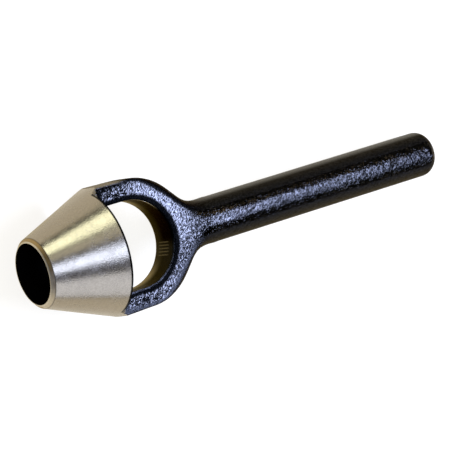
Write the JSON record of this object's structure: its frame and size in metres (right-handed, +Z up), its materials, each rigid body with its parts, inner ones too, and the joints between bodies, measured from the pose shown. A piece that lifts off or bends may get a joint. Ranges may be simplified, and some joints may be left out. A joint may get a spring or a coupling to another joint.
{
  "type": "arch punch",
  "caption": "Forged steel arch punch: a conical head with a round cutting mouth, a windowed arch behind it and a round shank with a rounded striking end, lying flat.",
  "frame": {"origin": "centre of the bounding box's bottom face, on the surface that the punch lies on", "axes": "+X from the cutting mouth towards the striking end, +Y across the two arms, +Z up, through the window; the tool's own axis dips towards the striking end because the head is wider than the shank"},
  "size_m": [0.159, 0.0422, 0.0403],
  "materials": {
    "black_enamel": "black painted forging, glossy and finely wrinkled, with a bare ground cone"
  },
  "bodies": {
    "root": {"arch_punch": "black_enamel"}
  },
  "joints": []
}
